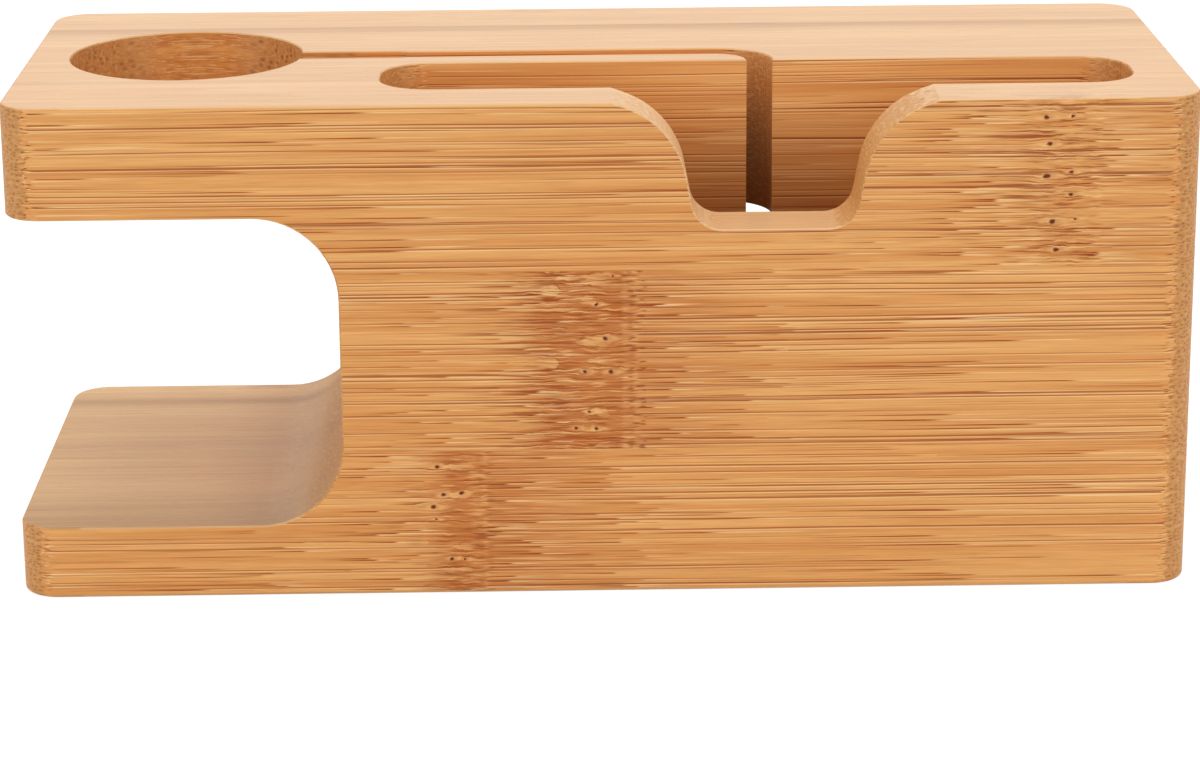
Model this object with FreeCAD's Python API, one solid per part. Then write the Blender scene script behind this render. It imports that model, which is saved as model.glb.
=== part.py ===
import FreeCAD, Part
import math
import os

# A charging stand milled from one block of glued bamboo strips: a phone slot with a notch in its front wall,
# an arm with a recess for a round watch charger, a cable groove and a cable bay that opens at the back.
# Millimetres. X runs to the right, Y to the back, Z up. The origin is the middle of the underside.

# The glued block
length = 140.0
depth = 56.0
height = 60.0
corner_radius = 4.5
top_round = 0.35
foot_round = 0.5

# The bamboo strips: plies stand one behind the other, and each ply is three strips high
ply_thickness = 6.45
bottom_strip_height = 18.0
top_strip_height = 20.1
# How far the joints of the highest ply lie above those of the front ply
joint_stagger = 4.1
# Each ply's joints above those of the front ply, as a share of the stagger, front ply first
stagger_shares = (0.0, -0.39, 0.54, 1.0, -0.17, 0.73, -0.24, 0.88, -0.29)

# The gap under the arm, where the watch strap hangs
gap_reach = 38.95
arm_thickness = 13.4
base_thickness = 8.85
gap_corner_radius = 10.0
gap_chamfer = 0.2

# The round recess for the watch charger, in the arm
recess_diameter = 28.4
recess_depth = 8.5
recess_from_left = 19.3
recess_from_front = 28.95

# The phone slot
slot_width = 14.6
slot_depth = 20.15
slot_corner_radius = 6.0
slot_front_wall = 8.35
slot_right_wall = 6.4
slot_left_wall = 4.75

# The notch in the slot's front wall
notch_from_right = 49.9
notch_depth = 15.3
notch_floor_width = 18.3
notch_side_lean = 10.6
notch_floor_radius = 3.6
notch_mouth_width = 38.0
notch_mouth_slope = 20.0
notch_shoulder_radius = 11.0
notch_round = 0.3

# The cable groove: a wide stretch for the charger's strain relief, a narrow one, then a turn into the slot
groove_from_front = 28.3
relief_width = 3.9
relief_depth = 7.0
relief_length = 28.1
cable_width = 3.15
cable_depth = 5.0
cable_exit_from_right = 50.45
rim_chamfer = 0.15

# The cable bay: a passage from the back to the slot's floor
bay_width = 24.0
bay_corner_radius = 3.0
bay_front_wall = 10.5
bay_above_slot_floor = 0.7
# How much the bay leaves under it of the middle strip that begins highest
bay_sill = 1.75

# How far a cutter runs past the face that it opens
overrun = 5.0
# A point this close to a surface lies on it
touch = 0.001

left = -length / 2
right = length / 2
front = -depth / 2
back = depth / 2
base_top = base_thickness
arm_under = height - arm_thickness
gap_wall = left + gap_reach
slot_floor = height - slot_depth
slot_right = right - slot_right_wall
slot_left = gap_wall + slot_left_wall
slot_front = front + slot_front_wall
slot_back = slot_front + slot_width
recess_x = left + recess_from_left
recess_y = front + recess_from_front
groove_y = front + groove_from_front
cable_exit_x = right - cable_exit_from_right
notch_x = right - notch_from_right
bay_ceiling = slot_floor + bay_above_slot_floor
bay_floor = bottom_strip_height + joint_stagger + bay_sill
bay_front = front + bay_front_wall

along_y = FreeCAD.Vector(0, 1, 0)
along_z = FreeCAD.Vector(0, 0, 1)


def point(x, y, z):
    """A point in the stand's frame."""
    return FreeCAD.Vector(x, y, z)


def block(x0, x1, y0, y1, z0, z1):
    """A plain block between two opposite corners."""
    return Part.makeBox(x1 - x0, y1 - y0, z1 - z0, point(x0, y0, z0))


def outline(corners, radii):
    """A flat closed face through the corners, each rounded by its own radius (0 leaves it sharp)."""
    starts = []
    middles = []
    ends = []
    for index, corner in enumerate(corners):
        to_last = (corners[index - 1] - corner).normalize()
        to_next = (corners[(index + 1) % len(corners)] - corner).normalize()
        half_angle = to_last.getAngle(to_next) / 2
        reach = radii[index] / math.tan(half_angle)
        inset = radii[index] / math.sin(half_angle) - radii[index]
        starts.append(corner + to_last * reach)
        middles.append(corner + (to_last + to_next).normalize() * inset)
        ends.append(corner + to_next * reach)
    edges = []
    for index, radius in enumerate(radii):
        if radius > 0:
            edges.append(Part.Arc(starts[index], middles[index], ends[index]).toShape())
        edges.append(Part.makeLine(ends[index], starts[(index + 1) % len(corners)]))
    return Part.Face(Part.Wire(edges))


def rounded_block(x0, x1, y0, y1, z0, z1, radius):
    """An upright block with its four vertical edges rounded."""
    corners = [point(x0, y0, z0), point(x1, y0, z0), point(x1, y1, z0), point(x0, y1, z0)]
    return outline(corners, [radius] * len(corners)).extrude(along_z * (z1 - z0))


def lies_on(edge, solid):
    """Whether the middle of an edge lies on the skin of a solid."""
    middle = edge.valueAt((edge.FirstParameter + edge.LastParameter) / 2)
    return solid.Shells[0].distToShape(Part.Vertex(middle))[0] < touch


def mill(solid, cutter, is_eased):
    """Cut a solid. Gives what is left and those of its new outside edges for which is_eased says so."""
    cut = solid.cut(cutter).removeSplitter()
    rim = [edge for edge in cut.Edges if lies_on(edge, solid) and lies_on(edge, cutter)]
    return cut, [edge for edge in rim if is_eased(edge.BoundBox)]


def at_height(z):
    """A test for edges that lie wholly at one height."""
    return lambda bounds: abs(bounds.ZMin - z) < touch and abs(bounds.ZMax - z) < touch


def glued_block():
    """The glued block, with rounded corners and eased top and bottom edges."""
    solid = rounded_block(left, right, front, back, 0, height, corner_radius)
    for z, radius in ((height, top_round), (0, foot_round)):
        is_eased = at_height(z)
        solid = solid.makeFillet(radius, [edge for edge in solid.Edges if is_eased(edge.BoundBox)])
    return solid


def strap_gap():
    """The watch strap gap: open to the left, front and back, with two rounded inner corners."""
    outside = left - overrun
    y = front - overrun
    corners = [point(outside, y, base_top), point(gap_wall, y, base_top),
               point(gap_wall, y, arm_under), point(outside, y, arm_under)]
    radii = [0, gap_corner_radius, gap_corner_radius, 0]
    return outline(corners, radii).extrude(along_y * (depth + overrun + overrun))


def notch():
    """The notch: a flat floor, leaning sides and broad rounded shoulders, through the front wall."""
    y = front - overrun
    floor = height - notch_depth
    floor_half = notch_floor_width / 2
    mouth_half = notch_mouth_width / 2
    lean = math.tan(math.radians(notch_side_lean))
    slope = math.tan(math.radians(notch_mouth_slope))
    # How far above the floor a leaning side meets the sloping mouth
    rise = (notch_depth - slope * (mouth_half - floor_half)) / (1 - slope * lean)
    shoulder_half = floor_half + rise * lean
    outer_half = mouth_half + overrun / slope
    right_side = [(floor_half, floor), (shoulder_half, floor + rise), (outer_half, height + overrun)]
    corners = [point(notch_x + half, y, z) for half, z in right_side]
    corners += [point(notch_x - half, y, z) for half, z in reversed(right_side)]
    side_radii = [notch_floor_radius, notch_shoulder_radius, 0]
    radii = side_radii + side_radii[::-1]
    return outline(corners, radii).extrude(along_y * (overrun + slot_front_wall + slot_width / 2))


def phone_slot():
    """The phone slot, from its floor up past the top."""
    return rounded_block(slot_left, slot_right, slot_front, slot_back, slot_floor, height + overrun,
                         slot_corner_radius)


def charger_recess():
    """The blind round recess for the watch charger."""
    centre = point(recess_x, recess_y, height - recess_depth)
    return Part.makeCylinder(recess_diameter / 2, recess_depth + overrun, centre)


def relief_groove():
    """The wide, deep stretch of the cable groove beside the recess, with a round end."""
    half = relief_width / 2
    end_x = recess_x + relief_length - half
    floor = height - relief_depth
    run = block(recess_x, end_x, groove_y - half, groove_y + half, floor, height + overrun)
    return run.fuse(Part.makeCylinder(half, relief_depth + overrun, point(end_x, groove_y, floor)))


def cable_groove():
    """The narrow stretch of the cable groove, then a quarter turn that drops into the slot and the bay."""
    half = cable_width / 2
    turn_radius = groove_y - slot_back
    turn_x = cable_exit_x - turn_radius
    centre = point(turn_x, slot_back, slot_floor)
    top = height + overrun
    run = block(recess_x, turn_x, groove_y - half, groove_y + half, height - cable_depth, top)
    outer = Part.makeCylinder(turn_radius + half, top - slot_floor, centre, along_z, 90)
    inner = Part.makeCylinder(turn_radius - half, top - slot_floor, centre, along_z, 90)
    mouth = block(cable_exit_x - half, cable_exit_x + half, slot_back - overrun, slot_back, slot_floor, top)
    return run.multiFuse([outer.cut(inner), mouth])


def cable_bay():
    """The cable bay: a rounded window in the back that runs forward to lie under the phone slot."""
    half = bay_width / 2
    corners = [point(notch_x - half, bay_front, bay_floor), point(notch_x + half, bay_front, bay_floor),
               point(notch_x + half, bay_front, bay_ceiling), point(notch_x - half, bay_front, bay_ceiling)]
    window = outline(corners, [bay_corner_radius] * len(corners))
    return window.extrude(along_y * (back - bay_front + overrun))


def milled_stand():
    """The whole stand as one solid, before it is told apart into its strips."""
    solid, edges = mill(glued_block(), strap_gap(), lambda bounds: True)
    solid = solid.makeChamfer(gap_chamfer, edges)
    solid, edges = mill(solid, notch(), lambda bounds: bounds.YMax < front + touch)
    solid = solid.makeFillet(notch_round, edges)
    top_cuts = phone_slot().multiFuse([charger_recess(), relief_groove(), cable_groove()])
    solid, edges = mill(solid, top_cuts, at_height(height))
    solid = solid.makeChamfer(rim_chamfer, edges)
    solid, edges = mill(solid, cable_bay(), lambda bounds: bounds.YMin > back - touch)
    return solid.makeChamfer(rim_chamfer, edges)


def ply_names(count):
    """What each ply is called, front to back."""
    return ["front_ply"] + ["ply_%d" % number for number in range(2, count)] + ["back_ply"]


def strip_boxes():
    """Each strip's name and the space that it took in the block before milling."""
    count = math.ceil(depth / ply_thickness)
    planes = [front - overrun] + [front + ply_thickness * ply for ply in range(1, count)] + [back + overrun]
    for ply, name in enumerate(ply_names(count)):
        rise = joint_stagger * stagger_shares[ply % len(stagger_shares)]
        joints = [-overrun, bottom_strip_height + rise, height - top_strip_height + rise, height + overrun]
        for course, place in enumerate(("bottom", "middle", "top")):
            space = block(left - overrun, right + overrun, planes[ply], planes[ply + 1],
                          joints[course], joints[course + 1])
            yield "%s_%s_strip" % (name, place), space


def strips(stand):
    """Every strip by name. One that the milling cut through is a left and a right piece."""
    for name, space in strip_boxes():
        solids = stand.common(space).Solids
        lefts = [solid for solid in solids if solid.CenterOfMass.x < cable_exit_x]
        rights = [solid for solid in solids if solid.CenterOfMass.x >= cable_exit_x]
        if lefts and rights:
            yield name + "_left", Part.makeCompound(lefts)
            yield name + "_right", Part.makeCompound(rights)
        else:
            yield name, Part.makeCompound(solids)


os.makedirs("parts", exist_ok=True)
for node, shape in strips(milled_stand()):
    shape.exportStep("parts/%s.step" % node)
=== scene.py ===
from collections import namedtuple
import math

import bpy
import numpy as np
from mathutils import Matrix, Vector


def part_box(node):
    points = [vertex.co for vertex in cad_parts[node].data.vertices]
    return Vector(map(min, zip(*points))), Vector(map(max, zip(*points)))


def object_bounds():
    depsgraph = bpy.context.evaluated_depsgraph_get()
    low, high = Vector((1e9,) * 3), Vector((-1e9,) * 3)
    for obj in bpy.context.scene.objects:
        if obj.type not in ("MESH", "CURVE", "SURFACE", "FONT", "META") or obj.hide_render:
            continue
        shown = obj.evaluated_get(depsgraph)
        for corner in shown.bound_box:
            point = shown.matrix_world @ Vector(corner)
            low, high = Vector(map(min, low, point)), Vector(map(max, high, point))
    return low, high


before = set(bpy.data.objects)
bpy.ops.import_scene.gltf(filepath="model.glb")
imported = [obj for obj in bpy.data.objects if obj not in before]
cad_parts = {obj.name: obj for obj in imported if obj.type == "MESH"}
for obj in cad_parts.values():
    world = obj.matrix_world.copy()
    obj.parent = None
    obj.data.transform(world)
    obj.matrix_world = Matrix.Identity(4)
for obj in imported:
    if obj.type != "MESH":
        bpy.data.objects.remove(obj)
cad_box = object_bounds()

# The photograph's camera, fitted to the stand's edges. Lengths are metres, angles radians.
PHOTO_WIDTH = 1200
FOCAL_PIXELS = 3415.25
SENSOR_WIDTH = 36.0
CAMERA_PLACE = (-0.0058955, -0.4121297, 0.147664)
CAMERA_YAW = -0.0143
CAMERA_PITCH = -0.2707
CAMERA_ROLL = 0.0077
CAMERA_SHIFT = -0.10
CAMERA_NEAREST = 0.01
# Turns a camera that looks down to look ahead
LOOK_AHEAD = math.radians(90)

# Studio, in metres and watts
FLOOR_HALF = 1.5
TABLE_WHITE = (0.8, 0.8, 0.8, 1.0)
TABLE_SHADED = (0.3, 0.3, 0.3, 1.0)
TABLE_GLOW = 0.84
ROOM_LIGHT = 0.98
KEY_PLACE = (0.1, 0.35, 1.2)
KEY_SIZE = (1.0, 0.7)
KEY_WATTS = 2.5

MM_PER_METRE = 1000.0
# Two faces this close, in metres, lie in one plane
TOUCH = 0.0001


def paint(red, green, blue):
    """A colour from its three screen values, 0 to 255, as the linear light that the shader works in. The sRGB
    curve has a straight foot and then a power of 2.4."""
    shares = np.array([red, green, blue]) / 255
    linear = np.where(shares <= 0.04045, shares / 12.92, ((shares + 0.055) / 1.055) ** 2.4)
    return (*linear.tolist(), 1.0)


# Bamboo colours
GROUND_DEEP = paint(221, 150, 81)
GROUND_PALE = paint(239, 177, 106)
FIBRE_GLOW = paint(206, 120, 28)
FIBRE_DARK = paint(152, 62, 0)
FIBRE_PALE = paint(255, 216, 156)
# The level faces' paler colour: partly the strips' own edge wood, partly painted sheen
EDGE_GROUND_AND_SHEEN = paint(226, 186, 137)
RING_STAIN = paint(182, 88, 14)
RING_SMUDGE = paint(146, 62, 2)
RING_PALE = paint(246, 188, 118)
PIT_DARK = paint(108, 36, 0)
END_GROUND = paint(212, 152, 90)
END_DOT = paint(158, 98, 50)
# A paler cut face: painted light on the notch's floor and left side
LIT_CUT_GROUND = paint(232, 186, 137)
# Pale eased edges: partly wear, partly painted highlight
WORN_EDGE_AND_HIGHLIGHT = paint(246, 206, 154)
# Tints: what is left of red, green and blue light
AFTER_RING = (0.84, 0.70, 0.60, 1.0)
# Darker towards the bark, and painted shade at the base's front edge
DENSE_AND_SHADED_TINT = (0.72, 0.64, 0.52, 1.0)
# The cutter's burn, and painted shade deeper in the milled hollows
BURN_AND_SHADE = (0.52, 0.38, 0.28, 1.0)
# Painted shade on the gap's floor under the arm, a little greyer
GAP_FLOOR_SHADE = (0.90, 0.94, 0.86, 1.0)
# Painted shade in the gap's inner corner
GAP_CORNER_SHADE_TINT = (0.84, 0.79, 0.68, 1.0)

# The satin lacquer, and the relief of the fibres under it, in metres
LACQUER_IOR = 1.32
RELIEF_STRENGTH = 0.05
RELIEF_HEIGHT = 0.0001

# In what follows, lengths are millimetres. A pair of numbers is a fade: where something starts and where it
# is full. A share says how far one colour covers another, and less or more says how it changes somewhere.

# Lumps of soft noise: how far apart they lie along X, Y and Z, and how much finer noise is in them
Lumps = namedtuple("Lumps", "x y z detail")
SWAY_LUMPS = Lumps(90.0, 8.0, 8.0, 2.0)
CURL_LUMPS = Lumps(4.0, 3.0, 1.2, 2.0)
WOBBLE_LUMPS = Lumps(0.9, 0.9, 0.7, 2.0)
FRINGE_LUMPS = Lumps(1.0, 2.0, 0.45, 1.0)
GROUND_LUMPS = Lumps(60.0, 2.2, 1.2, 4.0)
FIBRE_LUMPS = Lumps(5.0, 0.15, 0.15, 2.0)
LINE_LUMPS = Lumps(130.0, 0.6, 0.2, 1.0)
FLAME_LUMPS = Lumps(4.0, 2.0, 0.26, 3.0)
SMUDGE_LUMPS = Lumps(5.0, 2.0, 0.4, 2.0)
STRAND_LUMPS = Lumps(9.0, 0.6, 0.2, 2.0)
RAGGED_LUMPS = Lumps(1.0, 0.4, 0.35, 0.0)
WAVY_LUMPS = Lumps(1.8, 1.5, 0.5, 2.0)
JOINT_LUMPS = Lumps(9.0, 1.0, 1.0, 2.0)
NO_SHIFT = (0.0, 0.0, 0.0)
NOISE_MIDDLE = 0.5
# The draws that tell strips apart, and how far apart their patterns lie
DRAWS_SEED = 7
SEED_RANGE = (0, 10)
TONE_RANGE = (0.97, 1.03)
SEED_STRIDE = 61.7
STRIP_STRIDE = 50.0

# Streaks: how long they are far from a ring and near one, and how far apart
LONG_STREAK = 44.0
LONG_GAUGE = 0.25
SHORT_STREAK = 14.0
SHORT_GAUGE = 0.25
SHORT_STREAK_ZONE = (34.0, 12.0)
SHORT_STREAK_SHIFT = 31.3
# The parts of a streak, as shares of its length and gauge
STREAK_FADES_IN = (-0.5, 0.1)
STREAK_ENDS = (0.17, 0.1)
STREAK_SHOWN = (0.15, 0.5)
STREAK_WIDTH = (0.38, 0.14)
STREAK_SWELLS = 0.8
STREAK_LEAST = 0.25
GLOW_WIDTH = (0.65, 0.15)
PALE_WIDTH = (0.34, 0.14)
PALE_STARTS = (0.08, 0.16)
PALE_ENDS = (0.5, 0.2)
PALE_SHOWN = (0.3, 0.7)
STREAK_LESS_ON_EDGE = 0.5
STREAK_LESS_ON_WALL = 0.75
GLOW_SHARE = 0.42
PALE_STREAK_SHARE = 0.8

# Fibres sway, and between the streaks lie long dark lines with a pale one beside each
SWAY_REACH = 0.8
GROUND_MIX = (0.3, 0.7)
LINE_SHOWN = (0.59, 0.66)
LINE_SHARE = 0.72
LINE_LESS_ON_EDGE = 0.52
LINE_MORE_ON_WALL = 0.1
LINE_LESS_IN_RECESS = 0.6
PALE_LINE_SHIFT = 0.8
PALE_LINE_SHARE = 0.5
PALE_LINE_MORE_ON_WALL = 0.2
PALE_LINE_LESS_ON_EDGE = 0.05
FIBRE_CONTRAST = 0.38
FIBRE_LESS_CUT = 0.22

# The rings where leaf sheaths grew: the ring's middle, its reach to the left and the right, how deep its
# stain is, how much of a ridge ends it, how streaky the wood is before and after it, how ragged its right
# side is, and each eye's x, z and size
Ring = namedtuple("Ring", "middle left right stain ridge before after fringe eyes")
RINGS = {
    "front_ply_top_strip": Ring(53.2, 3.6, 4.6, 0.2, 0.0, 1.0, 0.1, 7.0, (
        (51.35, 57.74, 1.1), (54.44, 57.87, 0.7), (51.81, 54.56, 1.0), (51.65, 50.76, 1.2),
        (54.39, 51.14, 0.8), (54.54, 48.55, 0.9), (52.32, 45.24, 1.2), (55.04, 45.54, 0.6),
        (52.95, 41.89, 1.0))),
    "front_ply_middle_strip": Ring(-1.5, 7.0, 5.4, 1.0, 1.0, 0.6, 0.9, 1.2, (
        (1.10, 39.30, 0.6), (-0.84, 35.84, 0.7), (0.13, 31.66, 1.1), (-2.23, 27.64, 0.9), (0.75, 27.53, 1.1),
        (-1.79, 22.64, 0.8), (-3.35, 20.65, 0.8), (-0.96, 20.57, 0.9))),
    "front_ply_bottom_strip": Ring(-18.0, 2.2, 3.8, 0.9, 0.4, 0.4, 1.0, 2.0, (
        (-19.93, 15.99, 0.9), (-19.20, 12.53, 0.9), (-17.12, 12.66, 0.9), (-20.48, 10.96, 1.0),
        (-20.23, 9.39, 0.6), (-18.31, 4.42, 0.8), (-16.70, 4.40, 0.6))),
    "back_ply_top_strip": Ring(-8.0, 4.4, 4.6, 0.7, 0.2, 0.8, 0.4, 4.0, (
        (-9.6, 57.2, 0.9), (-6.9, 54.3, 0.8), (-9.1, 51.4, 1.1), (-6.5, 48.2, 0.7), (-8.8, 45.0, 1.0),
        (-7.4, 41.6, 0.8))),
    "back_ply_middle_strip": Ring(46.0, 6.0, 4.8, 0.9, 0.8, 0.6, 0.8, 1.6, (
        (47.3, 36.4, 0.9), (44.6, 33.7, 0.8), (46.9, 30.2, 1.1), (44.9, 26.6, 0.9), (47.1, 23.1, 0.8),
        (45.2, 19.8, 1.0))),
    "back_ply_bottom_strip": Ring(-44.0, 3.4, 4.0, 0.8, 0.4, 0.5, 0.8, 2.4, (
        (-45.4, 5.9, 0.8), (-42.7, 3.3, 0.9))),
}
# A ring lies in the skin of the stalk, starts raggedly and curls the fibres
SKIN_DEPTH = (3.0, 0.8)
RING_START_FRINGE = 9.0
RING_START = (-2.5, 2.5)
RING_END = (0.6, -0.6)
CURL_REACH = 0.6
WOBBLE_REACH = 0.2
# Its stain, the smudges before it and the flames in it
STAIN_SHARE = 0.65
SMUDGE_FRINGE = 6.0
SMUDGE_AHEAD = 1.0
SMUDGE_ZONE = (4.0, 0.5)
SMUDGE_SHIFT = 40.0
SMUDGE_SHOWN = (0.5, 0.7)
SMUDGE_SHARE = 0.4
FLAME_DARK = (0.52, 0.67)
FLAME_DARK_SHARE = 0.7
FLAME_PALE = (0.46, 0.34)
FLAME_PALE_SHARE = 0.9
FLAME_LESS_IN_STAIN = 0.2
# Its tongues, whose parts are shares of their length and width
TONGUE_LENGTH = 6.0
TONGUE_WIDTH = 2.3
TONGUE_WIDENS = (-0.6, 0.2)
TONGUE_ENDS = (0.42, 0.26)
TONGUE_SHOWN = (0.3, 0.7)
TONGUE_HALF = 0.3
TONGUE_LEAST = 0.02
TONGUE_INSIDE = (1.0, 0.5)
RIM_STARTS = (0.7, 1.0)
RIM_ENDS = (1.7, 1.2)
TONGUE_GROWN = (0.05, 0.14)
TONGUE_WOBBLE = 0.7
TONGUE_ZONE = (4.0, -1.0)
TONGUE_SHARE = 0.75
RIM_SHARE = 0.5
# The strands before and after it
STRANDS_START = (-13.0, -1.0)
STRANDS_STOP = (0.0, -1.5)
AFTER_START = (-0.2, 0.6)
AFTER_END = (18.0, 1.0)
STRANDS_LEAST = 0.4
STRANDS_MORE_AFTER = 0.5
STRANDS_LESS_AT_RIDGE = 0.6
STRAND_DARK = (0.55, 0.65)
STRAND_DARK_SHARE = 0.8
STRAND_PALE = (0.43, 0.33)
STRAND_PALE_SHARE = 0.7
# The ridge that ends it, which flames break up, and the row of dark ticks on the ridge
RIDGE_AHEAD = 0.9
RIDGE_WIDTH = (1.2, 0.5)
RIDGE_BREAKS = (0.7, 0.3)
RIDGE_SHARE = 0.4
TICKS_APART_X = 1.5
TICKS_APART_Z = 0.75
TICK_REACH = (0.6, 1.0, 0.15)
TICK_FADE = (1.4, 0.4)
TICK_WOBBLE = 0.25
TICK_FRINGE = 1.5
TICK_ZONE = (1.3, 0.6)
TICK_SHOWN = (-0.2, 0.3)
TICK_SHARE = 0.75
# Its eyes: eggs of this half-length and half-height at size 1, this far right of the eye's middle, with a
# soft skin
Egg = namedtuple("Egg", "right length height fade")
EYE_BEND = Egg(0.0, 2.4, 0.9, (1.2, 0.2))
EYE_LENS = Egg(0.4, 1.5, 0.36, (1.3, 0.3))
EYE_PIT = Egg(0.0, 0.38, 0.3, (1.2, 0.4))
EYE_TRAIL = Egg(0.4, 0.6, 0.3, (1.3, 0.2))
EYE_WOBBLE_X = 0.8
EYE_WOBBLE_Z = 0.45
EYE_PARTS_FIBRES = 0.6
LENS_SHARE = 0.75
LENS_CLEARS_STREAKS = 0.8
TRAIL_SHARE = 0.3

# The block: where the slot, the channel and the recess were milled, and where the arm, gap and ends are
MILLED_LEFT = -65.5
MILLED_RIGHT = 64.2
MILLED_FRONT = -19.75
MILLED_BACK = 26.5
ARM_END = -30.0
ARM_UNDER = 50.0
TOP = 60.0
NOTCH_LOW = 42.0
NOTCH_MIDDLE = 20.1
RECESS_MIDDLE = -50.7
GAP_WALL = -30.9
GAP_HALF = 27.0
BASE_HALF = 4.4
END_ZONE = (62.0, 63.0)
# How sharply one of these begins
FINE_BLUR = 0.05
BLUR = 0.1
WIDE_BLUR = 0.5

# How level a face is, and a strip's edge, which is paler than its face: partly its plainer wood, partly
# painted sheen
LEVEL_FACING = (0.3, 0.95)
EDGE_AND_SHEEN_SHARE = 0.58
# Strips whose upper edge is darker on one side, painted shade at the base's front edge and the dense side of
# the stalk on the others: the side's y and its reach
DENSE_AND_SHADED_SIDES = {
    "front_ply_bottom_strip": (-28.0, 15.0),
    "ply_2_bottom_strip": (-28.0, 15.0),
    "ply_7_bottom_strip": (21.0, 5.0),
    "ply_8_bottom_strip": (21.0, 3.0),
    "ply_7_top_strip": (17.6, 6.5),
}
NO_DARKER_SIDE = (500.0, 1.0)
DARKER_SIDE_FADE = (1.0, 0.0)
# The notch's floor and left side are painted paler: painted light
NOTCH_START = (0.0, 1.0)
NOTCH_DEPTH = (-1.0, -2.0)
NOTCH_LEFT = (2.0, -2.0)
NOTCH_LIGHT_SHARE = 0.7
# The gap's floor and the corner at its inner end, both given painted shade
GAP_FACING = (0.6, 0.3)
HOLLOW_FACING = (0.0, 0.3)
CORNER_START = (-12.0, -10.0)
CORNER_SHADE = (-20.0, -5.0)
CORNER_ON_WALL = 0.5

# Bundles that are cut across: how far apart they lie, how they look, and how they darken towards the bark
ACROSS_FACING = (0.3, 0.42)
ACROSS_SMOOTHLY = (0.15, 0.8)
ACROSS_SHARE = 0.85
RAGGED_REACH = 0.4
BUNDLE_GAUGE = 0.38
BUNDLE_STRETCH = 1.3
DOT_SIZE = (0.42, 0.16)
DOT_SHOWN = (0.0, 0.7)
DOT_SHARE = 0.4
DOT_MORE_AT_END = 0.24
DOT_MORE_AT_BARK = 0.22
DOT_LESS_IN_RECESS = 0.2
BETWEEN_DOTS = (0.5, 0.8)
BETWEEN_SHARE = 0.35
BETWEEN_LESS_AT_BARK = 0.2
BARK_DEPTH = (6.5, 0.5)
BARK_SHARE = 0.32
# The recess: its pores lie at its right and left, and its back wall is wavy
PORE_GAUGE = 0.9
PORE_SIZE = (0.4, 0.1)
PORE_SHOWN = (0.2, 0.7)
PORES_RIGHT = (3.0, 8.0)
PORES_LEFT = (-5.0, -8.0)
PORES_LEFT_SHARE = 0.7
PORE_SHARE = 0.55
WAVY_PALE = (0.56, 0.66)
WAVY_PALE_SHARE = 0.6
WAVY_DARK = (0.48, 0.38)
WAVY_DARK_SHARE = 0.25

# Joints; eased edges, pale with wear and painted highlight; painted light near the top of the slot's walls;
# and the cutter's burn with painted shade, by depth under the top
JOINT_WIDTH = (0.16, 0.05)
JOINT_SHOWN = (0.4, 0.6)
JOINT_SHARE = 0.4
JOINT_MORE_AT_END = 0.25
# A joint that a strip lacks is this far off
FAR_OFF = 500.0
EASED_FACING = (0.96, 0.85)
WEAR_AND_HIGHLIGHT_SHARE = 0.4
# Painted light near the top of the slot's walls: the depth it fades over, and its strength
RIM_DEPTH = (-14.0, -2.0)
PAINTED_TOP_LIGHT = 0.12
BURN_AND_SHADE_DEPTH = (-3.0, -23.0)
BURN_AND_SHADE_SHARE = 0.85
BURN_MORE_ACROSS = 0.22
BURN_MORE_IN_RECESS = 0.2
BURN_LESS_ACROSS_RECESS = 0.1

# Roughness and relief
ROUGH_LEAST = 0.22
ROUGH_FIBRE = 0.08
ROUGH_STREAK = 0.1
ROUGH_CUT = 0.25
FIBRE_RELIEF = 0.25
PIT_RELIEF = 0.8


class Field:
    """One number or colour at each point of a surface, worked out by shader nodes. Sums take fields and
    numbers."""

    def __init__(self, tree, socket):
        """A field that a node's output socket gives."""
        self.tree = tree
        self.socket = socket

    def work(self, operation, *values):
        """The result of one sum, by the name that the Math node has for it."""
        node = self.tree.nodes.new("ShaderNodeMath")
        node.operation = operation
        for socket, value in zip(node.inputs, values):
            feed(self.tree, socket, value)
        return Field(self.tree, node.outputs[0])

    def __add__(self, other):
        """This plus the other."""
        return self.work("ADD", self, other)

    def __sub__(self, other):
        """This less the other."""
        return self.work("SUBTRACT", self, other)

    def __rsub__(self, other):
        """A number less this."""
        return self.work("SUBTRACT", other, self)

    def __mul__(self, other):
        """This times the other."""
        return self.work("MULTIPLY", self, other)

    def __truediv__(self, other):
        """This divided by the other."""
        return self.work("DIVIDE", self, other)

    def size(self):
        """This without its sign."""
        return self.work("ABSOLUTE", self)

    def root(self):
        """The square root of this."""
        return self.work("SQRT", self)

    def most(self, other):
        """The larger of the two."""
        return self.work("MAXIMUM", self, other)

    def least(self, other):
        """The smaller of the two."""
        return self.work("MINIMUM", self, other)

    def step(self, fade):
        """Goes smoothly from 0 at the fade's start to 1 at its end, where the start may be the larger."""
        start, end = fade
        node = self.tree.nodes.new("ShaderNodeMapRange")
        node.interpolation_type = "SMOOTHSTEP"
        feed(self.tree, node.inputs["Value"], self)
        node.inputs["From Min"].default_value = min(start, end)
        node.inputs["From Max"].default_value = max(start, end)
        node.inputs["To Min"].default_value = 0.0 if start < end else 1.0
        node.inputs["To Max"].default_value = 1.0 if start < end else 0.0
        return Field(self.tree, node.outputs["Result"])


def feed(tree, socket, value):
    """Wires a field into a socket, or sets a plain value on it."""
    if isinstance(value, Field):
        tree.links.new(value.socket, socket)
    else:
        socket.default_value = value


def parts_of(tree, socket):
    """The three coordinates of a point."""
    node = tree.nodes.new("ShaderNodeSeparateXYZ")
    tree.links.new(socket, node.inputs[0])
    return [Field(tree, output) for output in node.outputs]


def place(x, y, z):
    """A point whose three coordinates are fields or numbers, the first of them a field."""
    node = x.tree.nodes.new("ShaderNodeCombineXYZ")
    for socket, value in zip(node.inputs, (x, y, z)):
        feed(x.tree, socket, value)
    return Field(x.tree, node.outputs[0])


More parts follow.
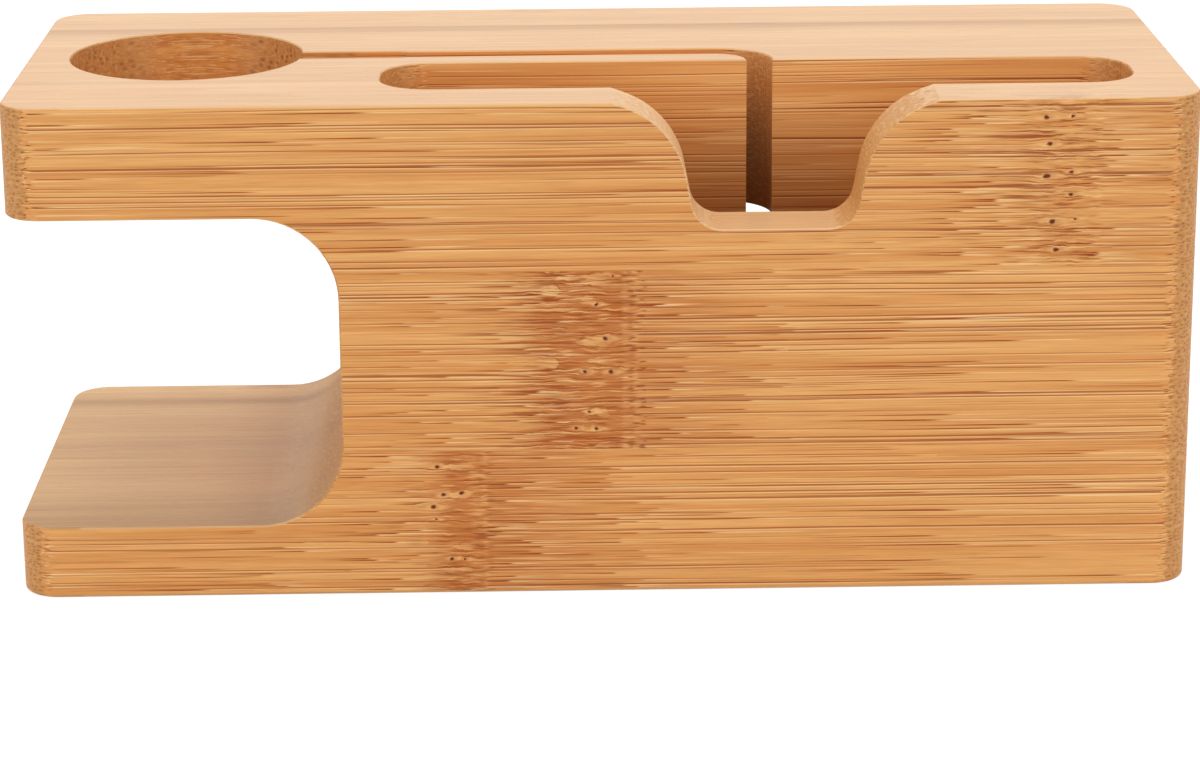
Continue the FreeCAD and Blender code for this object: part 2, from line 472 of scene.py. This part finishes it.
def above(value, mark, blur):
    """1 where a value is more than a mark and 0 where it is less, with a blur to each side."""
    return (value - mark).step((-blur, blur))


def below(value, mark, blur):
    """1 where a value is less than a mark and 0 where it is more, with a blur to each side."""
    return (value - mark).step((blur, -blur))


def cloud(lumps, x, y, z, shift=NO_SHIFT):
    """Soft noise around a half. The shift, counted in lumps, gives another stretch of the same noise."""
    point = place(x / lumps.x + shift[0], y / lumps.y + shift[1], z / lumps.z + shift[2])
    node = point.tree.nodes.new("ShaderNodeTexNoise")
    feed(point.tree, node.inputs["Vector"], point)
    node.inputs["Scale"].default_value = 1.0
    node.inputs["Detail"].default_value = lumps.detail
    return Field(point.tree, node.outputs["Fac"])


def swing(lumps, x, y, z, shift=NO_SHIFT):
    """The same noise around zero."""
    return cloud(lumps, x, y, z, shift) - NOISE_MIDDLE


def grains(point, flat=False):
    """Scattered grains, one in each unit cube, or square if flat: the three offsets from the nearest grain's
    middle, the distance to it and a random number of its own."""
    tree = point.tree
    node = tree.nodes.new("ShaderNodeTexVoronoi")
    node.voronoi_dimensions = "2D" if flat else "3D"
    feed(tree, node.inputs["Vector"], point)
    node.inputs["Scale"].default_value = 1.0
    apart = tree.nodes.new("ShaderNodeVectorMath")
    apart.operation = "SUBTRACT"
    feed(tree, apart.inputs[0], point)
    tree.links.new(node.outputs["Position"], apart.inputs[1])
    shades = tree.nodes.new("ShaderNodeSeparateColor")
    tree.links.new(node.outputs["Color"], shades.inputs[0])
    offsets = parts_of(tree, apart.outputs[0])
    return offsets, Field(tree, node.outputs["Distance"]), Field(tree, shades.outputs[0])


def away(point, middle, reach):
    """How far a point lies from the middle of an egg, in shares of the egg's half-lengths: 1 on its skin."""
    tree = point.tree
    apart = tree.nodes.new("ShaderNodeVectorMath")
    apart.operation = "SUBTRACT"
    feed(tree, apart.inputs[0], point)
    apart.inputs[1].default_value = middle
    share = tree.nodes.new("ShaderNodeVectorMath")
    share.operation = "DIVIDE"
    tree.links.new(apart.outputs[0], share.inputs[0])
    share.inputs[1].default_value = reach
    length = tree.nodes.new("ShaderNodeVectorMath")
    length.operation = "LENGTH"
    tree.links.new(share.outputs[0], length.inputs[0])
    return Field(tree, length.outputs["Value"])


def blend(share, under, over, way="MIX"):
    """The colour under, covered by the colour over it as far as the share says."""
    node = share.tree.nodes.new("ShaderNodeMix")
    node.data_type = "RGBA"
    node.blend_type = way
    feed(share.tree, node.inputs["Factor"], share)
    feed(share.tree, node.inputs[6], under)
    feed(share.tree, node.inputs[7], over)
    return Field(share.tree, node.outputs[2])


def tinted(share, colour, tint):
    """A colour multiplied by a tint as far as the share says."""
    return blend(share, colour, tint, "MULTIPLY")


def dimmed(colour, share):
    """A colour with its light multiplied by a share."""
    node = share.tree.nodes.new("ShaderNodeVectorMath")
    node.operation = "SCALE"
    feed(share.tree, node.inputs[0], colour)
    feed(share.tree, node.inputs["Scale"], share)
    return Field(share.tree, node.outputs[0])


def mixed(share, first, second):
    """Each of the first fields, moved towards the second ones as far as the share says."""
    return [one + (two - one) * share for one, two in zip(first, second)]


def streaks(x, deep, rise, length, gauge):
    """Fibres that a face cuts at a slant: each fades in, is darkest at its tip and goes on as a pale line.
    Gives the shares of the dark line, of the glow around it and of the pale line."""
    (along, inward, upward), _, pick = grains(place(x / length, deep / gauge, rise / gauge))
    aside = (inward * inward + upward * upward).root()
    tip = along.step(STREAK_FADES_IN) * along.step(STREAK_ENDS)
    shown = pick.step(STREAK_SHOWN)
    dark = (aside / (tip * STREAK_SWELLS + STREAK_LEAST)).step(STREAK_WIDTH) * tip * shown
    glow = aside.step(GLOW_WIDTH) * tip * shown
    pale = aside.step(PALE_WIDTH) * along.step(PALE_STARTS) * along.step(PALE_ENDS) * pick.step(PALE_SHOWN)
    return dark, glow, pale


def tongues(x, z):
    """Pale tongues in a ring, pointed at the left and round at the right: their half-width grows along X.
    Gives the shares of their inside and of their dark rim."""
    (along, aside, _), _, pick = grains(place(x / TONGUE_LENGTH, z / TONGUE_WIDTH, 0.0), flat=True)
    shape = along.step(TONGUE_WIDENS) * along.step(TONGUE_ENDS) * pick.step(TONGUE_SHOWN)
    half = shape * TONGUE_HALF + TONGUE_LEAST
    out = aside.size() / half
    grown = half.step(TONGUE_GROWN)
    return out.step(TONGUE_INSIDE) * grown, out.step(RIM_STARTS) * out.step(RIM_ENDS) * grown


class Grain:
    """The bamboo of a strip, worked out in millimetres by one node group. Fibres are long grains along X, so
    that a face along them shows streaks and a face across them shows dots. Some strips have a ring."""

    def __init__(self, name, ring):
        """Makes the node group: first where things lie, then the colours of the wood and of the cuts."""
        self.ring = ring
        self.tree = bpy.data.node_groups.new(name, "ShaderNodeTree")
        self.open_sockets()
        self.find_faces()
        self.find_milling()
        self.find_cuts_across()
        self.bend_fibres()
        self.lay_fibres()
        colour = self.face_colour()
        colour = self.edge_colour(colour)
        colour = self.end_colour(colour)
        colour = self.recess_colour(colour)
        colour = self.worn_and_highlit_colour(colour)
        colour = self.burnt_and_shaded_colour(colour)
        self.close_sockets(colour)

    def open_sockets(self):
        """What a strip's own material sets, and what the group gives back."""
        sockets = self.tree.interface
        for key in ("seed", "tone", "skin_y", "dense_y", "dense_reach", "joint_y", "joint_z"):
            sockets.new_socket(name=key, in_out="INPUT", socket_type="NodeSocketFloat")
        sockets.new_socket(name="Color", in_out="OUTPUT", socket_type="NodeSocketColor")
        for key in ("Roughness", "Height"):
            sockets.new_socket(name=key, in_out="OUTPUT", socket_type="NodeSocketFloat")
        entry = self.tree.nodes.new("NodeGroupInput")
        self.given = {socket.name: Field(self.tree, socket) for socket in entry.outputs if socket.name}

    def find_faces(self):
        """Where a point lies, which way the surface faces there, how level it is, and the block's ends."""
        spot = self.tree.nodes.new("ShaderNodeTexCoord")
        self.x, self.y, self.z = [axis * MM_PER_METRE for axis in parts_of(self.tree, spot.outputs["Object"])]
        facing = parts_of(self.tree, spot.outputs["Normal"])
        self.facing_x, self.facing_y, self.facing_z = [axis.size() for axis in facing]
        self.level = self.facing_z.step(LEVEL_FACING)
        self.ends = self.x.size().step(END_ZONE)
        self.from_skin = (self.y - self.given["skin_y"]).size()
        self.far = self.given["seed"] * SEED_STRIDE
        self.there = self.x + self.far * STRIP_STRIDE

    def find_milling(self):
        """The milled walls of the slot, the channel and the recess, the notch, and the faces of the gap."""
        x, y, z, level = self.x, self.y, self.z, self.level
        inside = above(y, MILLED_FRONT, FINE_BLUR) * below(y, MILLED_BACK, BLUR)
        reached = above(x, ARM_END, WIDE_BLUR).most(above(z, ARM_UNDER, WIDE_BLUR))
        between = above(x, MILLED_LEFT, BLUR) * below(x, MILLED_RIGHT, BLUR)
        self.milled = inside * reached * between * (1.0 - level)
        self.in_arm = below(x, ARM_END, WIDE_BLUR)
        self.recess = self.in_arm * self.milled
        self.notch = (z - NOTCH_LOW).step(NOTCH_START) * (1.0 - self.milled)

        from_wall = x - GAP_WALL
        in_gap = below(x, GAP_WALL, BLUR) * self.facing_y.step(GAP_FACING)
        self.gap_face = in_gap * (1.0 - self.ends)
        # Where painted shade goes: the gap's floor and its inner corner
        low = in_gap * below(z, GAP_HALF, BLUR) * above(z, BASE_HALF, BLUR)
        self.hollow = low * level.most(from_wall.step(CORNER_START)) * self.facing_z.step(HOLLOW_FACING)
        shade = level * (1.0 - CORNER_ON_WALL) + CORNER_ON_WALL
        self.corner = from_wall.step(CORNER_SHADE) * self.hollow * shade

    def find_cuts_across(self):
        """Faces across the fibres, which streaks enter raggedly on the outside, and their sides towards the
        bark."""
        ragged = swing(RAGGED_LUMPS, self.far, self.y, self.z)
        across = (self.facing_x + ragged * RAGGED_REACH).step(ACROSS_FACING)
        smooth = self.facing_x.step(ACROSS_SMOOTHLY)
        self.across = across + (smooth - across) * self.milled.most(self.gap_face)
        open_end = self.ends.most(self.gap_face * (1.0 - self.milled) * (1.0 - self.hollow))
        self.bark = self.from_skin.step(BARK_DEPTH) * open_end

    def bend_fibres(self):
        """Fibres sway a little along the strip. In a ring they curl, and they part round its eyes."""
        x, y, z, far = self.x, self.y, self.z, self.far
        self.sway = swing(SWAY_LUMPS, x, y, z, (far, 0.0, 0.0))
        self.rise = z + self.sway * SWAY_REACH
        self.deep = y + self.sway * SWAY_REACH
        if self.ring:
            self.find_ring()
            curl = swing(CURL_LUMPS, x, y, z, (0.0, 0.0, far))
            self.rise = self.rise + curl * self.mark * CURL_REACH + self.wobble * self.mark * WOBBLE_REACH
            for eye in self.ring.eyes:
                self.rise = self.rise - (z - eye[1]) * self.round_eye(eye, EYE_BEND) * EYE_PARTS_FIBRES

    def find_ring(self):
        """The mark of the ring: the skin of the stalk between two ragged sides. Its eyes are a little out of
        round."""
        ring, x, y, z, far = self.ring, self.x, self.y, self.z, self.far
        self.skin = self.from_skin.step(SKIN_DEPTH)
        self.beside = x - ring.middle
        self.past = self.beside - ring.right
        self.fringe = swing(FRINGE_LUMPS, far, y, z)
        begun = (self.beside + ring.left + self.fringe * RING_START_FRINGE).step(RING_START) * self.skin
        self.mark = begun * (self.past + self.fringe * ring.fringe).step(RING_END)
        self.wobble = swing(WOBBLE_LUMPS, x, y, z, (0.0, 0.0, far))
        self.eye_spot = place(x + self.wobble * EYE_WOBBLE_X, 0.0, z + self.wobble * EYE_WOBBLE_Z)

    def round_eye(self, eye, egg):
        """How far a point lies in an egg at one eye."""
        eye_x, eye_z, size = eye
        middle = (eye_x + egg.right * size, 0.0, eye_z)
        reach = (egg.length * size, 1.0, egg.height * size)
        return away(self.eye_spot, middle, reach).step(egg.fade)

    def round_eyes(self, egg):
        """How far a point lies in such an egg at any eye."""
        first, *others = [self.round_eye(eye, egg) for eye in self.ring.eyes]
        for other in others:
            first = first.most(other)
        return first * self.skin

    def lay_fibres(self):
        """The streaks, which are short near a ring, the long lines with a pale one beside each, and fine
        fibres."""
        course = self.there, self.deep, self.rise
        fibres = streaks(*course, LONG_STREAK, LONG_GAUGE)
        if self.ring:
            close = self.beside.size().step(SHORT_STREAK_ZONE)
            short = streaks(self.there, self.deep, self.rise + SHORT_STREAK_SHIFT, SHORT_STREAK, SHORT_GAUGE)
            fibres = mixed(close, fibres, short)
        self.dark, self.glow, self.pale = fibres
        self.ground = cloud(GROUND_LUMPS, *course).step(GROUND_MIX)
        self.fibre = cloud(FIBRE_LUMPS, *course)
        self.lines = cloud(LINE_LUMPS, *course).step(LINE_SHOWN)
        beside = cloud(LINE_LUMPS, *course, (0.0, 0.0, PALE_LINE_SHIFT)).step(LINE_SHOWN)
        self.pale_lines = beside * (1.0 - self.lines)

    def face_colour(self):
        """The ground, lines and streaks. A ring's stain lies under the streaks and its pits over them."""
        level, milled = self.level, self.milled
        plain = 1.0 - milled * STREAK_LESS_ON_WALL
        colour = blend(self.ground, GROUND_DEEP, GROUND_PALE)
        shown = LINE_SHARE - level * LINE_LESS_ON_EDGE + milled * LINE_MORE_ON_WALL
        shown = shown - self.recess * LINE_LESS_IN_RECESS
        colour = blend(self.lines * shown, colour, FIBRE_DARK)
        shown = milled * PALE_LINE_MORE_ON_WALL + PALE_LINE_SHARE - level * PALE_LINE_LESS_ON_EDGE
        colour = blend(self.pale_lines * shown, colour, FIBRE_PALE)
        colour = blend(self.glow * plain * GLOW_SHARE, colour, FIBRE_GLOW)
        if self.ring:
            self.flame = cloud(FLAME_LUMPS, self.x, self.y, self.rise, (self.far, 0.0, 0.0))
            colour = self.stained(colour)
            colour = self.stranded(colour)
            lens = self.round_eyes(EYE_LENS)
            colour = blend(lens * LENS_SHARE, colour, RING_PALE)
            self.dark = self.dark * (1.0 - lens * LENS_CLEARS_STREAKS)
        colour = blend(self.dark * plain * (1.0 - level * STREAK_LESS_ON_EDGE), colour, FIBRE_DARK)
        colour = blend(self.pale * PALE_STREAK_SHARE, colour, FIBRE_PALE)
        if self.ring:
            colour = self.ridged(colour)
            self.pits = self.round_eyes(EYE_PIT)
            colour = blend(self.round_eyes(EYE_TRAIL) * TRAIL_SHARE, colour, RING_SMUDGE)
            colour = blend(self.pits, colour, PIT_DARK)
        return colour

    def stained(self, colour):
        """The ring's red stain, with brown smudges before it and pale tongues and flames in it."""
        ring, mark, far = self.ring, self.mark, self.far
        colour = blend(mark * ring.stain * STAIN_SHARE, colour, RING_STAIN)
        start = self.beside + ring.left + self.fringe * SMUDGE_FRINGE + SMUDGE_AHEAD
        before = start.size().step(SMUDGE_ZONE) * self.skin
        smudge = cloud(SMUDGE_LUMPS, self.x, self.y, self.rise, (far, 0.0, SMUDGE_SHIFT)).step(SMUDGE_SHOWN)
        colour = blend(smudge * before * ring.stain * SMUDGE_SHARE, colour, RING_SMUDGE)
        tongue, rim = tongues(self.x + far, self.z + self.wobble * TONGUE_WOBBLE + self.sway)
        patch = mark * self.beside.step(TONGUE_ZONE) * ring.stain
        colour = blend(tongue * patch * TONGUE_SHARE, colour, RING_PALE)
        colour = blend(rim * patch * RIM_SHARE, colour, RING_SMUDGE)
        colour = blend(self.flame.step(FLAME_DARK) * mark * FLAME_DARK_SHARE, colour, RING_SMUDGE)
        pale_share = FLAME_PALE_SHARE - ring.stain * FLAME_LESS_IN_STAIN
        return blend(self.flame.step(FLAME_PALE) * mark * pale_share, colour, RING_PALE)

    def stranded(self, colour):
        """The darker wood after the ring, and dark and pale strands before and after it."""
        ring = self.ring
        ended = self.past.step(AFTER_START) * self.past.step(AFTER_END)
        colour = tinted(ended * ring.after * self.skin, colour, AFTER_RING)
        before = (self.beside + ring.left).step(STRANDS_START) * self.beside.step(STRANDS_STOP) * ring.before
        after_share = STRANDS_LEAST + ring.after * STRANDS_MORE_AFTER
        after = ended * after_share * (1.0 - ring.ridge * STRANDS_LESS_AT_RIDGE)
        zone = before.most(after) * self.skin
        strands = cloud(STRAND_LUMPS, self.x, self.deep, self.rise, (self.far, 0.0, 0.0))
        colour = blend(strands.step(STRAND_DARK) * zone * STRAND_DARK_SHARE, colour, FIBRE_DARK)
        return blend(strands.step(STRAND_PALE) * zone * STRAND_PALE_SHARE, colour, FIBRE_PALE)

    def ridged(self, colour):
        """The pale ridge that ends some rings, with a row of dark ticks."""
        ring, past, z = self.ring, self.past, self.z
        ridge = (past + RIDGE_AHEAD).size().step(RIDGE_WIDTH) * self.skin * ring.ridge
        colour = blend(ridge * self.flame.step(RIDGE_BREAKS) * RIDGE_SHARE, colour, RING_PALE)
        cell = place(past / TICKS_APART_X, z / TICKS_APART_Z + self.far, 0.0)
        (tick_x, tick_z, _), _, pick = grains(cell, flat=True)
        tick_z = tick_z * TICKS_APART_Z + self.wobble * TICK_WOBBLE
        ticks = away(place(tick_x * TICKS_APART_X, 0.0, tick_z), (0.0, 0.0, 0.0), TICK_REACH).step(TICK_FADE)
        row = (past + self.fringe * TICK_FRINGE).size().step(TICK_ZONE)
        ticks = ticks * row * pick.step(TICK_SHOWN)
        return blend(ticks * ring.ridge * self.skin * TICK_SHARE, colour, RING_SMUDGE)

    def edge_colour(self, colour):
        """A strip's edge is plainer than its face and painted paler, partly its own wood and partly painted
        sheen. Some strips' edges darken towards one side: painted shade at the base's front edge, the dense
        side of the stalk on the others. The notch's floor is painted paler still, which is painted light.
        """
        level, given = self.level, self.given
        # Level faces painted paler: partly their own wood, partly painted sheen
        colour = blend(level * EDGE_AND_SHEEN_SHARE, colour, EDGE_GROUND_AND_SHEEN)
        dense = ((self.y - given["dense_y"]).size() / given["dense_reach"]).step(DARKER_SIDE_FADE)
        # Painted shade at the base's front edge; on the other strips the darker dense side of the stalk
        colour = tinted(level * dense, colour, DENSE_AND_SHADED_TINT)
        # Painted light on the notch's floor
        notch_floor = level * self.notch * (self.z - TOP).step(NOTCH_DEPTH)
        return blend(notch_floor * NOTCH_LIGHT_SHARE, colour, LIT_CUT_GROUND)

    def end_colour(self, colour):
        """Cut across, the bundles are dots in a duller ground, denser and darker towards the bark."""
        x, ends, bark = self.x, self.ends, self.bark
        cell = place(self.y / BUNDLE_GAUGE / BUNDLE_STRETCH + self.far, self.z / BUNDLE_GAUGE, 0.0)
        _, near, pick = grains(cell, flat=True)
        shown = ends * DOT_MORE_AT_END + DOT_SHARE + bark * DOT_MORE_AT_BARK
        shown = shown - self.recess * DOT_LESS_IN_RECESS
        dots = near.step(DOT_SIZE) * pick.step(DOT_SHOWN) * shown
        # The notch's left side is painted paler: painted light
        lit_notch_side = self.notch * (1.0 - ends) * (x - NOTCH_MIDDLE).step(NOTCH_LEFT)
        cut = blend(lit_notch_side, END_GROUND, LIT_CUT_GROUND)
        # Darker towards the bark: the wood's own colour
        cut = tinted(bark * BARK_SHARE, cut, DENSE_AND_SHADED_TINT)
        cut = blend(dots, cut, END_DOT)
        cut = blend(near.step(BETWEEN_DOTS) * (BETWEEN_SHARE - bark * BETWEEN_LESS_AT_BARK), cut, FIBRE_PALE)
        return blend(self.across * ACROSS_SHARE, colour, cut)

    def recess_colour(self, colour):
        """The recess's pores, at its two sides, and the wavy fibres of its back wall."""
        x, y, z, far = self.x, self.y, self.z, self.far
        _, near, pick = grains(place(y / PORE_GAUGE + far, z / PORE_GAUGE, 0.0), flat=True)
        pores = near.step(PORE_SIZE) * pick.step(PORE_SHOWN) * self.recess
        off_middle = x - RECESS_MIDDLE
        sides = off_middle.step(PORES_RIGHT) + off_middle.step(PORES_LEFT) * PORES_LEFT_SHARE
        colour = blend(pores * sides * PORE_SHARE, colour, PIT_DARK)
        wavy = cloud(WAVY_LUMPS, x, y, z, (far, 0.0, 0.0))
        wall = self.recess * (1.0 - self.across)
        colour = blend(wavy.step(WAVY_PALE) * wall * WAVY_PALE_SHARE, colour, RING_PALE)
        return blend(wavy.step(WAVY_DARK) * wall * WAVY_DARK_SHARE, colour, RING_STAIN)

    def worn_and_highlit_colour(self, colour):
        """Fine fibres and the strip's own tone, painted light near the top of the slot's and channel's walls,
        thin dark joints here and there, and eased edges, pale with wear and painted highlight.
        """
        x, y, z, given = self.x, self.y, self.z, self.given
        # Painted light, brighter near the top of the slot's and channel's walls
        rim = self.milled * above(x, ARM_END, WIDE_BLUR) * (z - TOP).step(RIM_DEPTH) * PAINTED_TOP_LIGHT
        contrast = FIBRE_CONTRAST - self.level.most(self.milled) * FIBRE_LESS_CUT
        colour = dimmed(colour, (self.fibre - NOISE_MIDDLE) * contrast + rim + given["tone"])
        apart = (y - given["joint_y"]).size().least((z - given["joint_z"]).size())
        joint = apart.step(JOINT_WIDTH) * cloud(JOINT_LUMPS, x, y, z, (0.0, 0.0, self.far)).step(JOINT_SHOWN)
        shown = self.ends * self.across * JOINT_MORE_AT_END + JOINT_SHARE
        colour = blend(joint * shown, colour, FIBRE_DARK)
        # Eased edges painted pale: wear and painted highlight
        eased = self.facing_x.most(self.facing_y).most(self.facing_z).step(EASED_FACING)
        eased = eased * (1.0 - self.ends) * (1.0 - self.across)
        return blend(eased * WEAR_AND_HIGHLIGHT_SHARE, colour, WORN_EDGE_AND_HIGHLIGHT)

    def burnt_and_shaded_colour(self, colour):
        """The cutter's burn on milled walls, with painted shade that deepens further down, and painted shade
        on the gap's floor and in its corner.
        """
        # Burn, and painted shade that grows with depth under the top
        burn_and_shade = (self.z - TOP).step(BURN_AND_SHADE_DEPTH) * BURN_AND_SHADE_SHARE + self.across * BURN_MORE_ACROSS
        burn_and_shade = burn_and_shade + self.in_arm * (BURN_MORE_IN_RECESS - self.across * BURN_LESS_ACROSS_RECESS)
        colour = tinted(self.milled * burn_and_shade, colour, BURN_AND_SHADE)
        # Painted shade on the gap's floor under the arm
        colour = tinted(self.hollow, colour, GAP_FLOOR_SHADE)
        # Painted shade in the gap's inner corner
        return tinted(self.corner, colour, GAP_CORNER_SHADE_TINT)

    def close_sockets(self, colour):
        """Hands over the colour, with roughness and relief from the same fibres."""
        cut = self.across.most(self.milled)
        rough = self.fibre * ROUGH_FIBRE + self.dark * ROUGH_STREAK + cut * ROUGH_CUT + ROUGH_LEAST
        height = self.fibre * FIBRE_RELIEF - self.dark * FIBRE_RELIEF
        if self.ring:
            height = height - self.pits * PIT_RELIEF
        leave = self.tree.nodes.new("NodeGroupOutput")
        feed(self.tree, leave.inputs["Color"], colour)
        feed(self.tree, leave.inputs["Roughness"], rough)
        feed(self.tree, leave.inputs["Height"], height)


def bamboo(name, grain, **settings):
    """One strip's bamboo: the shared pattern with the strip's own settings, under a satin lacquer."""
    material = bpy.data.materials.new(name + "_bamboo")
    material.use_nodes = True
    tree = material.node_tree
    shader = tree.nodes["Principled BSDF"]
    group = tree.nodes.new("ShaderNodeGroup")
    group.node_tree = grain.tree
    for key, value in settings.items():
        group.inputs[key].default_value = value
    relief = tree.nodes.new("ShaderNodeBump")
    relief.inputs["Strength"].default_value = RELIEF_STRENGTH
    relief.inputs["Distance"].default_value = RELIEF_HEIGHT
    tree.links.new(group.outputs["Height"], relief.inputs["Height"])
    tree.links.new(relief.outputs["Normal"], shader.inputs["Normal"])
    tree.links.new(group.outputs["Color"], shader.inputs["Base Color"])
    tree.links.new(group.outputs["Roughness"], shader.inputs["Roughness"])
    shader.inputs["IOR"].default_value = LACQUER_IOR
    return material


def dress_strips():
    """Every strip of the block gets its own bamboo."""
    even = Grain("even_grain", None)
    draws = np.random.default_rng(DRAWS_SEED)
    front, back = cad_box[0][1], cad_box[1][1]
    floor = cad_box[0][2]
    for node in sorted(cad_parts):
        low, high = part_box(node)
        grain = Grain(node + "_grain", RINGS[node]) if node in RINGS else even
        dense_y, dense_reach = DENSE_AND_SHADED_SIDES.get(node, NO_DARKER_SIDE)
        skin = high.y if high.y > back - TOUCH else low.y
        wood = bamboo(
            node, grain,
            seed=draws.uniform(*SEED_RANGE), tone=draws.uniform(*TONE_RANGE),
            skin_y=skin * MM_PER_METRE, dense_y=dense_y, dense_reach=dense_reach,
            joint_y=low.y * MM_PER_METRE if low.y > front + TOUCH else FAR_OFF,
            joint_z=low.z * MM_PER_METRE if low.z > floor + TOUCH else FAR_OFF)
        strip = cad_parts[node]
        strip.data.materials.clear()
        strip.data.materials.append(wood)


def studio_floor():
    """A flat square on which the stand rests. Seen directly it is white, with the stand's shadow on it."""
    corners = np.array([(-1, -1, 0), (1, -1, 0), (1, 1, 0), (-1, 1, 0)]) * FLOOR_HALF
    mesh = bpy.data.meshes.new("floor")
    mesh.from_pydata(corners.tolist(), [], [(0, 1, 2, 3)])
    floor = bpy.data.objects.new("floor", mesh)
    bpy.context.scene.collection.objects.link(floor)
    material = bpy.data.materials.new("white_table")
    material.use_nodes = True
    tree = material.node_tree
    tree.nodes.clear()
    matte = tree.nodes.new("ShaderNodeBsdfDiffuse")
    matte.inputs["Color"].default_value = TABLE_WHITE
    shaded = tree.nodes.new("ShaderNodeBsdfDiffuse")
    shaded.inputs["Color"].default_value = TABLE_SHADED
    glow = tree.nodes.new("ShaderNodeEmission")
    glow.inputs["Strength"].default_value = TABLE_GLOW
    seen = tree.nodes.new("ShaderNodeAddShader")
    tree.links.new(shaded.outputs[0], seen.inputs[0])
    tree.links.new(glow.outputs[0], seen.inputs[1])
    mix = tree.nodes.new("ShaderNodeMixShader")
    feed(tree, mix.inputs[0], seen_directly(tree))
    tree.links.new(matte.outputs[0], mix.inputs[1])
    tree.links.new(seen.outputs[0], mix.inputs[2])
    out = tree.nodes.new("ShaderNodeOutputMaterial")
    tree.links.new(mix.outputs[0], out.inputs["Surface"])
    mesh.materials.append(material)


def seen_directly(tree):
    """1 for a ray from the camera, a mirror or glass, else 0."""
    path = tree.nodes.new("ShaderNodeLightPath")
    camera, glossy, through = [Field(tree, path.outputs["Is %s Ray" % kind])
                               for kind in ("Camera", "Glossy", "Transmission")]
    return (camera + glossy + through).least(1.0)


def studio_world():
    """White where it is seen, and an even dim light on everything else."""
    world = bpy.data.worlds.new("studio")
    world.use_nodes = True
    tree = world.node_tree
    background = tree.nodes["Background"]
    background.inputs["Color"].default_value = (1, 1, 1, 1)
    strength = seen_directly(tree) * (1 - ROOM_LIGHT) + ROOM_LIGHT
    feed(tree, background.inputs["Strength"], strength)
    bpy.context.scene.world = world


def soft_box(name, place_at, size, watts):
    """A wide soft lamp that faces the stand."""
    lamp = bpy.data.lights.new(name, "AREA")
    lamp.shape = "RECTANGLE"
    lamp.size, lamp.size_y = size
    lamp.energy = watts
    piece = bpy.data.objects.new(name, lamp)
    ahead = -np.array(place_at) / np.linalg.norm(place_at)
    right = np.cross(ahead, (0, 0, 1))
    right /= np.linalg.norm(right)
    up = np.cross(right, ahead)
    turn = np.eye(4)
    turn[:3, :3] = np.stack([right, up, -ahead], 1)
    turn[:3, 3] = place_at
    piece.matrix_world = Matrix(turn.tolist())
    bpy.context.scene.collection.objects.link(piece)


def photo_camera():
    """The photograph's camera: turned by yaw about Z, then pitch about its right and roll about its view."""
    lens = bpy.data.cameras.new("camera")
    lens.sensor_width = SENSOR_WIDTH
    lens.lens = SENSOR_WIDTH * FOCAL_PIXELS / PHOTO_WIDTH
    lens.shift_y = CAMERA_SHIFT
    lens.clip_start = CAMERA_NEAREST
    camera = bpy.data.objects.new("camera", lens)
    turn = Matrix.Rotation(CAMERA_YAW, 4, "Z") @ Matrix.Rotation(CAMERA_PITCH, 4, "X")
    turn = turn @ Matrix.Rotation(CAMERA_ROLL, 4, "Y") @ Matrix.Rotation(LOOK_AHEAD, 4, "X")
    camera.matrix_world = Matrix.Translation(CAMERA_PLACE) @ turn
    bpy.context.scene.collection.objects.link(camera)
    bpy.context.scene.camera = camera


dress_strips()
studio_floor()
studio_world()
soft_box("key_light", KEY_PLACE, KEY_SIZE, KEY_WATTS)
photo_camera()
bpy.context.scene.view_settings.view_transform = "Standard"
